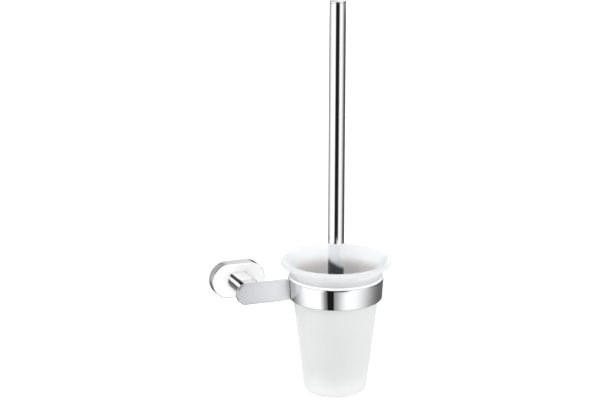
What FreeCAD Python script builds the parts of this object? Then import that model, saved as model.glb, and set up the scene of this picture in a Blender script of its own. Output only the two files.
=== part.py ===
# Wall-mounted toilet brush holder: chromed bracket and ring, frosted glass cup, brush with a tube handle.
# Millimetres. The wall is the plane y = 0 and the room is towards -Y. Z is up.
# The origin is the middle of the rosette, on the wall.
import FreeCAD
import Part
import Sketcher
import os
import re

sizes = {
    # wall end
    "rosette_width": 56.0,
    "rosette_height": 36.0,
    "rosette_depth": 11.0,
    "rosette_wall": 2.5,
    "rosette_rounding": 0.7,
    "bracket_gap": 0.2,
    "bracket_plate": 2.5,
    "bracket_rim": 2.5,
    "bracket_depth": 8.0,
    "wall_hole_spacing": 34.0,
    "wall_hole_radius": 2.5,
    "grub_radius": 2.0,
    "grub_length": 5.0,
    "grub_from_wall": 5.4,
    "grub_inset": 0.2,
    "grub_seat_gap": 0.3,
    # post and arm
    "post_flat": 13.6,
    "post_height": 16.4,
    "post_width": 22.8,
    "arm_height": 21.0,
    "arm_thickness": 4.0,
    "arm_back": 54.7,
    "arm_tip": 11.2,
    "arm_tip_bulge": 7.8,
    "arm_bevel": 0.45,
    "arm_end_from_axis": 40.0,
    "stud_spacing": 12.0,
    "stud_radius": 2.0,
    "stud_start": 3.8,
    "blind_depth": 3.2,
    "thread_gap": 0.05,
    "washer_radius": 4.5,
    "washer_thickness": 0.8,
    "nut_across": 7.0,
    "nut_height": 3.2,
    # ring, on its own upright axis
    "ring_axis_x": 83.5,
    "ring_axis_out": 64.5,
    "ring_height": 21.0,
    "ring_top_radius": 47.6,
    "ring_low_radius": 46.4,
    "ring_wall": 1.8,
    "ring_bevel": 0.35,
    "lug_height": 15.0,
    "lug_thickness": 5.0,
    "lug_reach": 62.0,
    "lug_root": 5.0,
    "lug_hole_first": 58.0,
    "lug_hole_pitch": 8.5,
    "screw_head_radius": 3.9,
    "screw_head_height": 2.6,
    "screw_socket_across": 2.5,
    "screw_socket_depth": 1.56,
    "liner_rim_radius": 47.2,
    "liner_rim_height": 2.2,
    "liner_bottom_gap": 0.5,
    "liner_rim_rounding": 0.9,
    "liner_mouth_rounding": 0.5,
    "liner_mouth_gap": 0.05,
    # glass cup
    "cup_gap": 0.4,
    "cup_bottom": 110.0,
    "cup_floor": 101.9,
    "cup_bottom_radius": 31.1,
    "cup_low_ring_radius": 42.6,
    "cup_seat_radius": 43.3,
    "cup_seat_height": 9.0,
    "cup_neck_radius": 45.1,
    "cup_neck_flare": 0.4,
    "cup_neck_low": 12.6,
    "cup_neck_high": 18.6,
    "lip_radius": 55.4,
    "lip_underside": 24.4,
    "lip_top": 28.8,
    "lip_inner_radius": 50.6,
    "throat_radius": 41.2,
    "throat_height": 18.6,
    "cup_inner_mid_radius": 39.4,
    "cup_inner_floor_radius": 28.0,
    "cup_corner": 9.0,
    "cup_floor_corner": 7.0,
    "lip_rounding": 2.0,
    "flare_rounding": 4.0,
    "throat_rounding": 8.0,
    # brush
    "handle_radius": 8.0,
    "handle_wall": 1.0,
    "handle_top": 291.0,
    "handle_low": 15.0,
    "cap_rim": 2.4,
    "cap_dome": 1.3,
    "cap_rounding": 0.7,
    "cap_plug": 10.0,
    "insert_length": 22.0,
    "head_stud_radius": 4.0,
    "head_stud_top": 3.0,
    "head_stud_low": 48.0,
    "collar_radius": 11.5,
    "collar_height": 9.0,
    "collar_top_radius": 9.2,
    "core_radius": 10.0,
    "core_low": 88.0,
    "bristle_radius": 25.0,
    "bristle_row_height": 5.6,
    "bristle_row_pitch": 7.2,
    "bristle_first_row": 83.0,
    "tip_low": 101.5,
    "tip_flat_radius": 8.8,
    "tip_flat_rise": 0.6,
    "tip_shoulder_radius": 18.7,
    "tip_shoulder_rise": 4.5,
    "tip_radius": 22.0,
    "tip_rise": 8.5,
    "tip_root_radius": 12.0,
}
bristle_rows = 8

doc = FreeCAD.newDocument("toilet_brush_holder")
sheet = doc.addObject("Spreadsheet::Sheet", "sizes")
for row, (alias, value) in enumerate(sizes.items(), start=1):
    sheet.set(f"A{row}", alias)
    sheet.set(f"B{row}", str(value))
    sheet.setAlias(f"B{row}", alias)
doc.recompute()


def linked(expression):
    """Point every size named in an expression at its cell in the sheet."""
    def cell(word):
        return f"sizes.{word.group()}" if word.group() in sizes else word.group()
    return re.sub(r"[a-z][a-z_]+", cell, expression)


def bind(item, prop, expression):
    item.setExpression(prop, linked(expression))


def measure(expression):
    """The number that an expression gives with the sheet's present values."""
    return float(sheet.evalExpression(linked(expression).replace("sizes.", "")))


def place(item, base, rotation=None):
    """Set a piece down at a base given as three expressions."""
    if rotation is not None:
        item.Placement = FreeCAD.Placement(FreeCAD.Vector(), rotation)
    for axis, expression in zip("xyz", base):
        bind(item, f"Placement.Base.{axis}", expression)


wall_origin = ("0", "0", "0")
ring_axis = ("ring_axis_x", "-ring_axis_out", "0")
out_of_wall = FreeCAD.Rotation(FreeCAD.Vector(1, 0, 0), 90)


# Bodies, sketches and their features

def new_body(name, base):
    body = doc.addObject("PartDesign::Body", name)
    body.Label = name
    place(body, base)
    return body


def new_sketch(body, name, role="XZ_Plane", offset=("0", "0", "0")):
    """A sketch on one of the body's own origin planes, moved by an offset given as expressions."""
    sketch = body.newObject("Sketcher::SketchObject", name)
    plane = next(feature for feature in body.Origin.OriginFeatures if feature.Role == role)
    sketch.AttachmentSupport = [(plane, "")]
    sketch.MapMode = "FlatFace"
    for axis, expression in zip("xyz", offset):
        bind(sketch, f"AttachmentOffset.Base.{axis}", expression)
    return sketch


def fix(sketch, kind, *where):
    """Add one dimension to a sketch and bind it to the sheet; the last item is its expression."""
    *where, expression = where
    number = sketch.addConstraint(Sketcher.Constraint(kind, *where, measure(expression)))
    bind(sketch, f"Constraints[{number}]", expression)


def draw_outline(sketch, corners):
    """A closed outline of straight lines through corners given as pairs of expressions."""
    points = [FreeCAD.Vector(measure(across), measure(up), 0) for across, up in corners]
    count = len(points)
    for number in range(count):
        sketch.addGeometry(Part.LineSegment(points[number], points[(number + 1) % count]), False)
    for number in range(count):
        sketch.addConstraint(Sketcher.Constraint("Coincident", number, 2, (number + 1) % count, 1))
    for number, (across, up) in enumerate(corners):
        fix(sketch, "DistanceX", -1, 1, number, 1, across)
        fix(sketch, "DistanceY", -1, 1, number, 1, up)


def draw_circle(sketch, across, up, radius):
    centre = FreeCAD.Vector(measure(across), measure(up), 0)
    circle = sketch.addGeometry(Part.Circle(centre, FreeCAD.Vector(0, 0, 1), measure(radius)), False)
    fix(sketch, "DistanceX", -1, 1, circle, 3, across)
    fix(sketch, "DistanceY", -1, 1, circle, 3, up)
    fix(sketch, "Radius", circle, radius)


def draw_side_arc(sketch, side, across, half_height, bulge, first_line, second_line):
    """An arc that bulges sideways between the ends of two lines; side is 1 or -1."""
    half = measure(half_height)
    start = FreeCAD.Vector(side * measure(across), half, 0)
    middle = FreeCAD.Vector(side * measure(f"{across} + {bulge}"), 0, 0)
    end = FreeCAD.Vector(side * measure(across), -half, 0)
    arc = sketch.addGeometry(Part.Arc(start, middle, end), False)
    top, bottom = (2, 1) if side > 0 else (1, 2)
    sketch.addConstraint(Sketcher.Constraint("Coincident", arc, top, *first_line))
    sketch.addConstraint(Sketcher.Constraint("Coincident", arc, bottom, *second_line))
    centre = f"{across} + ({bulge} - {half_height} * {half_height} / ({bulge})) / 2"
    fix(sketch, "DistanceX", -1, 1, arc, 3, f"{side} * ({centre})")


def draw_round_ended(sketch, flat_half, half_height, bulge):
    """Two level lines joined by an arc at each end."""
    flat = measure(flat_half)
    half = measure(half_height)
    for start, end, level in ((-flat, flat, half), (flat, -flat, -half)):
        ends = (FreeCAD.Vector(start, level, 0), FreeCAD.Vector(end, level, 0))
        sketch.addGeometry(Part.LineSegment(*ends), False)
    for line, sign in ((0, 1), (1, -1)):
        for point, direction in ((1, -sign), (2, sign)):
            fix(sketch, "DistanceX", -1, 1, line, point, f"{direction} * {flat_half}")
            fix(sketch, "DistanceY", -1, 1, line, point, f"{sign} * {half_height}")
    draw_side_arc(sketch, 1, flat_half, half_height, bulge, (0, 2), (1, 1))
    draw_side_arc(sketch, -1, flat_half, half_height, bulge, (0, 1), (1, 2))


def draw_stadium(sketch, width, height):
    draw_round_ended(sketch, f"({width} - ({height})) / 2", f"({height}) / 2", f"({height}) / 2")


def pad(body, sketch, length, backwards=False):
    feature = body.newObject("PartDesign::Pad", f"{sketch.Name}_pad")
    feature.Profile = sketch
    feature.Reversed = backwards
    bind(feature, "Length", length)
    sketch.Visibility = False
    return feature


def pocket(body, sketch, depth=None, backwards=False):
    """Cut along a sketch; with no depth it goes right through."""
    feature = body.newObject("PartDesign::Pocket", f"{sketch.Name}_pocket")
    feature.Profile = sketch
    feature.Reversed = backwards
    if depth is None:
        feature.Type = "ThroughAll"
    else:
        bind(feature, "Length", depth)
    sketch.Visibility = False
    return feature


def turn(body, sketch, kind="PartDesign::Revolution"):
    """Turn a sketch about its own upright axis, adding or, as a Groove, taking away."""
    feature = body.newObject(kind, f"{sketch.Name}_turned")
    feature.Profile = sketch
    feature.ReferenceAxis = (sketch, ["V_Axis"])
    feature.Angle = 360
    sketch.Visibility = False
    return feature


def edges_where(feature, test):
    """Names of a feature's edges whose middle point and edge pass a test."""
    doc.recompute()
    names = []
    for number, edge in enumerate(feature.Shape.Edges, start=1):
        middle = edge.valueAt((edge.FirstParameter + edge.LastParameter) / 2)
        if test(middle, edge):
            names.append(f"Edge{number}")
    return names


def round_edges(body, feature, names, radius, kind="PartDesign::Fillet"):
    dressing = body.newObject(kind, f"{body.Name}_{kind.split('::')[1].lower()}")
    dressing.Base = (feature, names)
    bind(dressing, "Radius" if kind.endswith("Fillet") else "Size", radius)
    return dressing


def round_circles(body, feature, roundings):
    """Round turned edges, each given by the expressions of its radius, its height and its rounding."""
    for across, up, rounding in roundings:
        radius, height = measure(across), measure(up)

        def on_circle(middle, edge):
            flat_distance = (middle.x ** 2 + middle.y ** 2) ** 0.5
            is_round = edge.Curve.TypeId == "Part::GeomCircle"
            return is_round and abs(flat_distance - radius) < 0.02 and abs(middle.z - height) < 0.02

        feature = round_edges(body, feature, edges_where(feature, on_circle), rounding)
    return feature


def turned_piece(name, base, corners, roundings=()):
    """A body turned from one outline, with rounded edges where it has them."""
    body = new_body(name, base)
    sketch = new_sketch(body, f"{name}_outline")
    draw_outline(sketch, corners)
    feature = turn(body, sketch)
    round_circles(body, feature, roundings)
    return body


# Simple solids

def cylinder(name, radius, height, base, rotation=None):
    item = doc.addObject("Part::Cylinder", name)
    bind(item, "Radius", radius)
    bind(item, "Height", height)
    place(item, base, rotation)
    return item


def hexagon(name, across_flats, height, base, rotation=None):
    item = doc.addObject("Part::Prism", name)
    item.Polygon = 6
    bind(item, "Circumradius", f"({across_flats}) / 2 / cos(30 deg)")
    bind(item, "Height", height)
    place(item, base, rotation)
    return item


def cut(name, base, tool):
    item = doc.addObject("Part::Cut", name)
    item.Base = base
    item.Tool = tool
    item.Label = name
    return item


def fuse(name, base, tool):
    item = doc.addObject("Part::Fuse", name)
    item.Base = base
    item.Tool = tool
    item.Label = name
    return item


# Wall end

def make_wall_bracket():
    """Cast tray that two screws hold to the wall; the rosette slips over its rim."""
    outer_width = "rosette_width - 2 * rosette_wall - 2 * bracket_gap"
    outer_height = "rosette_height - 2 * rosette_wall - 2 * bracket_gap"
    body = new_body("wall_bracket", wall_origin)
    outline = new_sketch(body, "bracket_outline")
    draw_stadium(outline, outer_width, outer_height)
    pad(body, outline, "bracket_depth")
    tray = new_sketch(body, "bracket_tray", offset=("0", "0", "bracket_plate"))
    draw_stadium(tray, f"{outer_width} - 2 * bracket_rim", f"{outer_height} - 2 * bracket_rim")
    pocket(body, tray, "bracket_depth", backwards=True)
    holes = new_sketch(body, "bracket_holes")
    for side in (-1, 1):
        draw_circle(holes, f"{side} * wall_hole_spacing / 2", "0", "wall_hole_radius")
    pocket(body, holes, backwards=True)
    grub_seat = new_sketch(body, "bracket_grub_seat", role="XY_Plane")
    draw_circle(grub_seat, "0", "-grub_from_wall", "grub_radius + grub_seat_gap")
    pocket(body, grub_seat)
    return body


def make_rosette():
    """Round-ended cover over the bracket, with a grub screw hole underneath."""
    body = new_body("rosette", wall_origin)
    outline = new_sketch(body, "rosette_outline")
    draw_stadium(outline, "rosette_width", "rosette_height")
    shell = pad(body, outline, "rosette_depth")
    front = measure("rosette_depth")
    names = edges_where(shell, lambda middle, edge: abs(middle.y + front) < 0.01)
    round_edges(body, shell, names, "rosette_rounding")
    hollow = new_sketch(body, "rosette_hollow")
    draw_stadium(hollow, "rosette_width - 2 * rosette_wall", "rosette_height - 2 * rosette_wall")
    pocket(body, hollow, "rosette_depth - rosette_wall", backwards=True)
    holes = new_sketch(body, "rosette_stud_holes")
    for side in (-1, 1):
        draw_circle(holes, f"{side} * stud_spacing / 2", "0", "stud_radius + thread_gap")
    pocket(body, holes, backwards=True)
    grub_hole = new_sketch(body, "rosette_grub_hole", role="XY_Plane")
    draw_circle(grub_hole, "0", "-grub_from_wall", "grub_radius + thread_gap")
    pocket(body, grub_hole)
    return body


def make_grub_screw():
    base = ("0", "-grub_from_wall", "-rosette_height / 2 + grub_inset")
    shank = cylinder("grub_shank", "grub_radius", "grub_length", base)
    socket = hexagon("grub_socket", "grub_radius", "grub_length / 2", base)
    return cut("grub_screw", shank, socket)


# Post and arm

def make_post():
    """Bar with flat top and bottom and rounded flanks, bored for the two studs."""
    body = new_body("post", wall_origin)
    outline = new_sketch(body, "post_outline", offset=("0", "0", "rosette_depth"))
    draw_round_ended(outline, "post_flat / 2", "post_height / 2", "(post_width - post_flat) / 2")
    pad(body, outline, "arm_back - rosette_depth")
    bores = new_sketch(body, "post_bores")
    for side in (-1, 1):
        draw_circle(bores, f"{side} * stud_spacing / 2", "0", "stud_radius + thread_gap")
    pocket(body, bores, backwards=True)
    return body


def make_support_arm():
    """Flat arm across the front of the post, hollowed at its end to sit against the ring."""
    body = new_body("support_arm", wall_origin)
    outline = new_sketch(body, "arm_outline", offset=("0", "0", "arm_back"))
    ring_side = "ring_axis_x - arm_end_from_axis"
    corners = ((ring_side, "arm_height / 2"), (ring_side, "-arm_height / 2"))
    tip = (("-arm_tip", "-arm_height / 2"), ("-arm_tip", "arm_height / 2"))
    points = [FreeCAD.Vector(measure(across), measure(up), 0) for across, up in (tip[1], *corners, tip[0])]
    for start, end in zip(points, points[1:]):
        outline.addGeometry(Part.LineSegment(start, end), False)
    for line in (0, 1):
        outline.addConstraint(Sketcher.Constraint("Coincident", line, 2, line + 1, 1))
    for (line, point), (across, up) in zip(((0, 1), (1, 1), (2, 1), (2, 2)), (tip[1], *corners, tip[0])):
        fix(outline, "DistanceX", -1, 1, line, point, across)
        fix(outline, "DistanceY", -1, 1, line, point, up)
    draw_side_arc(outline, -1, "arm_tip", "arm_height / 2", "arm_tip_bulge", (0, 1), (2, 2))
    plate = pad(body, outline, "arm_thickness")
    front = measure("arm_back + arm_thickness")
    ring_end = measure(ring_side)

    def front_edge(middle, edge):
        return abs(middle.y + front) < 0.01 and middle.x < ring_end - 0.1

    round_edges(body, plate, edges_where(plate, front_edge), "arm_bevel", "PartDesign::Chamfer")
    hollow = new_sketch(body, "arm_ring_hollow", offset=("ring_axis_x", "0", "ring_axis_out"))
    draw_outline(hollow, (
        ("0", "-ring_height / 2"),
        ("ring_low_radius", "-ring_height / 2"),
        ("ring_top_radius", "ring_height / 2"),
        ("0", "ring_height / 2"),
    ))
    turn(body, hollow, "PartDesign::Groove")
    holes = new_sketch(body, "arm_blind_holes", offset=("0", "0", "arm_back"))
    for side in (-1, 1):
        draw_circle(holes, f"{side} * stud_spacing / 2", "0", "stud_radius + thread_gap")
    for number in range(2):
        across = f"ring_axis_x - lug_hole_first + {number} * lug_hole_pitch"
        draw_circle(holes, across, "0", "stud_radius + thread_gap")
    pocket(body, holes, "blind_depth", backwards=True)
    return body


def make_arm_fasteners():
    """Two studs from the arm through post and rosette, each with a washer and nut inside the rosette."""
    pieces = []
    for side, word in ((-1, "left"), (1, "right")):
        across = f"{side} * stud_spacing / 2"
        hole = ("stud_radius + thread_gap", "rosette_depth", (across, "0", "0"), out_of_wall)
        stud = cylinder(f"arm_stud_{word}", "stud_radius", "arm_back + blind_depth - stud_start",
                        (across, "-stud_start", "0"), out_of_wall)
        stud.Label = f"arm_stud_{word}"
        washer_face = "-(rosette_depth - rosette_wall - washer_thickness)"
        disc = cylinder(f"washer_disc_{word}", "washer_radius", "washer_thickness",
                        (across, washer_face, "0"), out_of_wall)
        washer = cut(f"stud_washer_{word}", disc, cylinder(f"washer_hole_{word}", *hole))
        block = hexagon(f"nut_block_{word}", "nut_across", "nut_height",
                        (across, f"{washer_face} + nut_height", "0"), out_of_wall)
        nut = cut(f"stud_nut_{word}", block, cylinder(f"nut_hole_{word}", *hole))
        pieces += [stud, washer, nut]
    return pieces


# Ring

def make_ring_band():
    """Slightly tapered band with a lug that laps behind the arm."""
    body = new_body("ring_band", ring_axis)
    outline = new_sketch(body, "ring_outline")
    draw_outline(outline, (
        ("0", "-ring_height / 2"),
        ("ring_low_radius", "-ring_height / 2"),
        ("ring_top_radius", "ring_height / 2"),
        ("0", "ring_height / 2"),
    ))
    band = turn(body, outline)
    rims = edges_where(band, lambda middle, edge: abs(abs(middle.z) - measure("ring_height / 2")) < 0.01)
    round_edges(body, band, rims, "ring_bevel", "PartDesign::Chamfer")
    lug = new_sketch(body, "ring_lug", offset=("0", "0", "arm_back - ring_axis_out"))
    draw_outline(lug, (
        ("-lug_reach", "-lug_height / 2"),
        ("-ring_low_radius + lug_root", "-lug_height / 2"),
        ("-ring_low_radius + lug_root", "lug_height / 2"),
        ("-lug_reach", "lug_height / 2"),
    ))
    pad(body, lug, "lug_thickness", backwards=True)
    hollow = new_sketch(body, "ring_hollow")
    draw_outline(hollow, (
        ("0", "-ring_height / 2"),
        ("ring_low_radius - ring_wall", "-ring_height / 2"),
        ("ring_top_radius - ring_wall", "ring_height / 2"),
        ("0", "ring_height / 2"),
    ))
    turn(body, hollow, "PartDesign::Groove")
    holes = new_sketch(body, "ring_lug_holes", offset=("0", "0", "arm_back - ring_axis_out"))
    for number in range(2):
        across = f"-lug_hole_first + {number} * lug_hole_pitch"
        draw_circle(holes, across, "0", "stud_radius + thread_gap")
    pocket(body, holes, "lug_thickness")
    return body


def make_ring_screws():
    """Two screws from behind, through the ring's lug into the arm."""
    pieces = []
    for number, word in enumerate(("outer", "inner")):
        across = f"ring_axis_x - lug_hole_first + {number} * lug_hole_pitch"
        lug_back = "-(arm_back - lug_thickness)"
        shank = cylinder(f"ring_shank_{word}", "stud_radius", "lug_thickness + blind_depth",
                         (across, lug_back, "0"), out_of_wall)
        head = cylinder(f"ring_head_{word}", "screw_head_radius", "screw_head_height",
                        (across, f"{lug_back} + screw_head_height", "0"), out_of_wall)
        socket = hexagon(f"ring_socket_{word}", "screw_socket_across", "screw_socket_depth",
                         (across, f"{lug_back} + screw_head_height", "0"), out_of_wall)
        screw = fuse(f"ring_screw_solid_{word}", shank, head)
        pieces.append(cut(f"ring_screw_{word}", screw, socket))
    return pieces


def make_ring_liner():
    """Plastic sleeve that keeps the glass off the metal, with a rounded rim over the ring's edge."""
    rim_top = "ring_height / 2 + liner_rim_height"
    mouth = "cup_neck_radius + cup_gap + liner_mouth_gap"
    return turned_piece("ring_liner", ring_axis, (
        ("cup_low_ring_radius + cup_gap", "-ring_height / 2 + liner_bottom_gap"),
        ("ring_low_radius - ring_wall", "-ring_height / 2 + liner_bottom_gap"),
        ("ring_top_radius - ring_wall", "ring_height / 2"),
        ("liner_rim_radius", "ring_height / 2"),
        ("liner_rim_radius", rim_top),
        (mouth, rim_top),
        ("cup_seat_radius + cup_gap", "cup_seat_height"),
    ), (
        ("liner_rim_radius", rim_top, "liner_rim_rounding"),
        (mouth, rim_top, "liner_mouth_rounding"),
    ))


# Glass cup

def make_glass_cup():
    """Tapered cup with a thick floor and a flared mouth; its shoulder hangs in the liner."""
    return turned_piece("glass_cup", ring_axis, (
        ("0", "-cup_bottom"),
        ("cup_bottom_radius", "-cup_bottom"),
        ("cup_low_ring_radius", "-ring_height / 2"),
        ("cup_seat_radius", "cup_seat_height"),
        ("cup_neck_radius", "cup_neck_low"),
        ("cup_neck_radius + cup_neck_flare", "cup_neck_high"),
        ("lip_radius", "lip_underside"),
        ("lip_radius", "lip_top"),
        ("lip_inner_radius", "lip_top"),
        ("throat_radius", "throat_height"),
        ("cup_inner_mid_radius", "cup_seat_height"),
        ("cup_inner_floor_radius", "-cup_floor"),
        ("0", "-cup_floor"),
    ), (
        ("cup_bottom_radius", "-cup_bottom", "cup_corner"),
        ("cup_inner_floor_radius", "-cup_floor", "cup_floor_corner"),
        ("cup_neck_radius + cup_neck_flare", "cup_neck_high", "flare_rounding"),
        ("lip_radius", "lip_underside", "lip_rounding"),
        ("lip_radius", "lip_top", "lip_rounding"),
        ("lip_inner_radius", "lip_top", "lip_rounding"),
        ("throat_radius", "throat_height", "throat_rounding"),
    ))


# Brush

def make_handle():
    """Tube handle with a domed cap at the top and a threaded insert at the bottom."""
    bore = "handle_radius - handle_wall"
    tube = turned_piece("handle_tube", ring_axis, (
        (bore, "-handle_low"),
        ("handle_radius", "-handle_low"),
        ("handle_radius", "handle_top - cap_rim"),
        (bore, "handle_top - cap_rim"),
    ))
    cap = turned_piece("handle_cap", ring_axis, (
        ("0", "handle_top - cap_rim - cap_plug"),
        (bore, "handle_top - cap_rim - cap_plug"),
        (bore, "handle_top - cap_rim"),
        ("handle_radius", "handle_top - cap_rim"),
        ("handle_radius", "handle_top - cap_dome"),
        ("0", "handle_top"),
    ), (
        ("handle_radius", "handle_top - cap_dome", "cap_rounding"),
    ))
    insert = turned_piece("handle_insert", ring_axis, (
        ("head_stud_radius + thread_gap", "-handle_low"),
        (bore, "-handle_low"),
        (bore, "-handle_low + insert_length"),
        ("head_stud_radius + thread_gap", "-handle_low + insert_length"),
    ))
    return [tube, cap, insert]


def make_head():
    """Threaded stud, collar and core of the brush head."""
    stud = cylinder("head_stud", "head_stud_radius", "head_stud_top + head_stud_low",
                    (ring_axis[0], ring_axis[1], "-head_stud_low"))
    stud.Label = "head_stud"
    collar_low = "-handle_low - collar_height"
    collar = turned_piece("head_collar", ring_axis, (
        ("head_stud_radius + thread_gap", collar_low),
        ("collar_radius", collar_low),
        ("collar_top_radius", "-handle_low"),
        ("head_stud_radius + thread_gap", "-handle_low"),
    ))
    core = turned_piece("brush_core", ring_axis, (
        ("0", "-core_low"),
        ("core_radius", "-core_low"),
        ("core_radius", collar_low),
        ("head_stud_radius + thread_gap", collar_low),
        ("head_stud_radius + thread_gap", "-head_stud_low"),
        ("0", "-head_stud_low"),
    ))
    return [stud, collar, core]


def make_bristles():
    """Rows of bristles round the core and a rounded bunch under it, each as one soft solid."""
    rows = []
    for number in range(bristle_rows):
        middle = f"-bristle_first_row + {number} * bristle_row_pitch"
        low = f"{middle} - bristle_row_height / 2"
        high = f"{middle} + bristle_row_height / 2"
        rows.append(turned_piece(f"bristle_row_{number + 1}", ring_axis, (
            ("core_radius", low),
            ("bristle_radius", low),
            ("bristle_radius", high),
            ("core_radius", high),
        )))
    tip = turned_piece("bristle_tip", ring_axis, (
        ("0", "-tip_low"),
        ("tip_flat_radius", "-tip_low + tip_flat_rise"),
        ("tip_shoulder_radius", "-tip_low + tip_shoulder_rise"),
        ("tip_radius", "-tip_low + tip_rise"),
        ("tip_root_radius", "-core_low"),
        ("0", "-core_low"),
    ))
    return [*rows, tip]


pieces = [
    make_wall_bracket(),
    make_rosette(),
    make_grub_screw(),
    make_post(),
    make_support_arm(),
    *make_arm_fasteners(),
    make_ring_band(),
    *make_ring_screws(),
    make_ring_liner(),
    make_glass_cup(),
    *make_handle(),
    *make_head(),
    *make_bristles(),
]
doc.recompute()

for item in doc.Objects:
    if "Invalid" in item.State or "Error" in item.State:
        raise RuntimeError(f"{item.Name} did not recompute: {item.State}")
for piece in pieces:
    if piece.Shape.isNull() or not piece.Shape.isValid():
        raise RuntimeError(f"{piece.Label} has no valid shape")

os.makedirs("parts", exist_ok=True)
for piece in pieces:
    piece.Shape.exportStep(f"parts/{piece.Label}.step")
    print(piece.Label, len(piece.Shape.Solids), round(piece.Shape.Volume, 1))
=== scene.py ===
import bmesh
import bpy
import math
from mathutils import Matrix, Vector


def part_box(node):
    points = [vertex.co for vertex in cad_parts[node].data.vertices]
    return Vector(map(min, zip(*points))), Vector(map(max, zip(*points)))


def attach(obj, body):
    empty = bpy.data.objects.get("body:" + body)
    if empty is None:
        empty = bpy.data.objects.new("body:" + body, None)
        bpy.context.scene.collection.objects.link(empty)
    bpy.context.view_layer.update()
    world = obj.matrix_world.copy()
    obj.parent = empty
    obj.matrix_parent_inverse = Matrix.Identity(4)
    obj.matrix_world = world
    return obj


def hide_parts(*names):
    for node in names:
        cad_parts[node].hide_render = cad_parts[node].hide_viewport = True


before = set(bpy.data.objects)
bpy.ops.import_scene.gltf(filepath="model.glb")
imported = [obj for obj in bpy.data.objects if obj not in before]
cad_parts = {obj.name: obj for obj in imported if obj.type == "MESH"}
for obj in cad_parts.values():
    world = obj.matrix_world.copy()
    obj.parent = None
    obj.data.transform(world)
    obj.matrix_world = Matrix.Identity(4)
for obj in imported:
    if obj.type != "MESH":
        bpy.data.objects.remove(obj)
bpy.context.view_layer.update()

# Toilet brush holder: chromed rosette, post, arm and ring, frosted glass cup, brush with a tube handle.
# Metres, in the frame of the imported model: the wall is y = 0, the room is towards -Y, Z is up.

scene = bpy.context.scene
mm = 0.001
nearly = 1e-7       # metres, below which two points count as one
facing = 0.999      # how much of a normal lies along Y where a face counts as parallel to the wall
cupLow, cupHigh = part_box("glass_cup")
axisX = (cupLow.x + cupHigh.x) / 2      # upright axis shared by ring, cup and brush
axisY = (cupLow.y + cupHigh.y) / 2
upright = Matrix.Translation((axisX, axisY, 0))
print("frame loaded:", len(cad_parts), "nodes")


# Node trees: sums are written with Wire, every other node goes through Graph.add

class Wire:
    def __init__(self, graph, socket):
        self.graph = graph
        self.socket = socket

    def __add__(self, other):
        return self.graph.maths("ADD", self, other)

    def __radd__(self, other):
        return self.graph.maths("ADD", other, self)

    def __sub__(self, other):
        return self.graph.maths("SUBTRACT", self, other)

    def __rsub__(self, other):
        return self.graph.maths("SUBTRACT", other, self)

    def __mul__(self, other):
        return self.graph.maths("MULTIPLY", self, other)

    def __rmul__(self, other):
        return self.graph.maths("MULTIPLY", other, self)

    def __truediv__(self, other):
        return self.graph.maths("DIVIDE", self, other)

    def __rtruediv__(self, other):
        return self.graph.maths("DIVIDE", other, self)

    def output(self, name):
        return Wire(self.graph, self.socket.node.outputs[name])


class Graph:
    def __init__(self, tree):
        self.tree = tree
        tree.nodes.clear()

    def add(self, kind, settings=None, sockets=None, output=0):
        node = self.tree.nodes.new(kind)
        for name, value in (settings or {}).items():
            setattr(node, name, value)
        for name, value in (sockets or {}).items():
            if isinstance(value, Wire):
                self.tree.links.new(value.socket, node.inputs[name])
            else:
                node.inputs[name].default_value = value
        return Wire(self, node.outputs[output]) if len(node.outputs) else node

    def maths(self, operation, *values):
        return self.add("ShaderNodeMath", {"operation": operation}, dict(enumerate(values)))


def ramp(graph, value, low, high, settings=None):
    # nought at the low end, one at the high end, and in between a share of the way
    return graph.add("ShaderNodeMapRange", settings, {"Value": value, 1: low, 2: high})


def splitAxes(graph, vector):
    x = graph.add("ShaderNodeSeparateXYZ", None, {0: vector})
    return x, x.output("Y"), x.output("Z")


def joinAxes(graph, x, y, z):
    return graph.add("ShaderNodeCombineXYZ", None, {0: x, 1: y, 2: z})


def scaled(graph, vector, factor):
    return graph.add("ShaderNodeVectorMath", {"operation": "SCALE"}, {0: vector, "Scale": factor})


def summed(graph, first, second):
    return graph.add("ShaderNodeVectorMath", {"operation": "ADD"}, {0: first, 1: second})


# Mesh work

def alongY(x, y):
    # a place whose own Z axis points from the wall into the room
    return Matrix.Translation((x, y, 0)) @ Matrix.Rotation(math.pi / 2, 4, "X")


def roundedOutline(corners, steps=7):
    # corners are (across, up, radius) in mm; each corner with a radius becomes an arc
    points = []
    count = len(corners)
    for number, (across, up, radius) in enumerate(corners):
        here = Vector((across, up))
        if radius == 0:
            points.append(here * mm)
            continue
        before = (Vector(corners[number - 1][:2]) - here).normalized()
        after = (Vector(corners[(number + 1) % count][:2]) - here).normalized()
        half = before.angle(after) / 2
        centre = here + (before + after).normalized() * radius / math.sin(half)
        start = here + before * radius / math.tan(half) - centre
        end = here + after * radius / math.tan(half) - centre
        sweep = math.atan2(start.cross(end), start.dot(end))
        for step in range(steps + 1):
            points.append((centre + Matrix.Rotation(sweep * step / steps, 2) @ start) * mm)
    return points


def bridge(mesh, first, second):
    # quads between two rings of vertices, or triangles where one is a single pole
    count = max(len(first), len(second))
    for step in range(count):
        following = (step + 1) % count
        corners = [first[step % len(first)], second[step % len(second)]]
        corners += [second[following % len(second)], first[following % len(first)]]
        mesh.faces.new(list(dict.fromkeys(corners)))


def lathe(outline, place=upright, turns=160):
    # closed outline of (radius, height) turned about the Z axis of a place
    mesh = bmesh.new()
    rings = []
    for radius, height in outline:
        if radius < nearly:
            rings.append([mesh.verts.new((0, 0, height))])
            continue
        angles = [math.tau * step / turns for step in range(turns)]
        rings.append([mesh.verts.new((radius * math.cos(a), radius * math.sin(a), height)) for a in angles])
    for first, second in zip(rings, rings[1:] + rings[:1]):
        if len(first) > 1 or len(second) > 1:
            bridge(mesh, first, second)
    bmesh.ops.transform(mesh, matrix=place, verts=mesh.verts)
    return mesh


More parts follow.
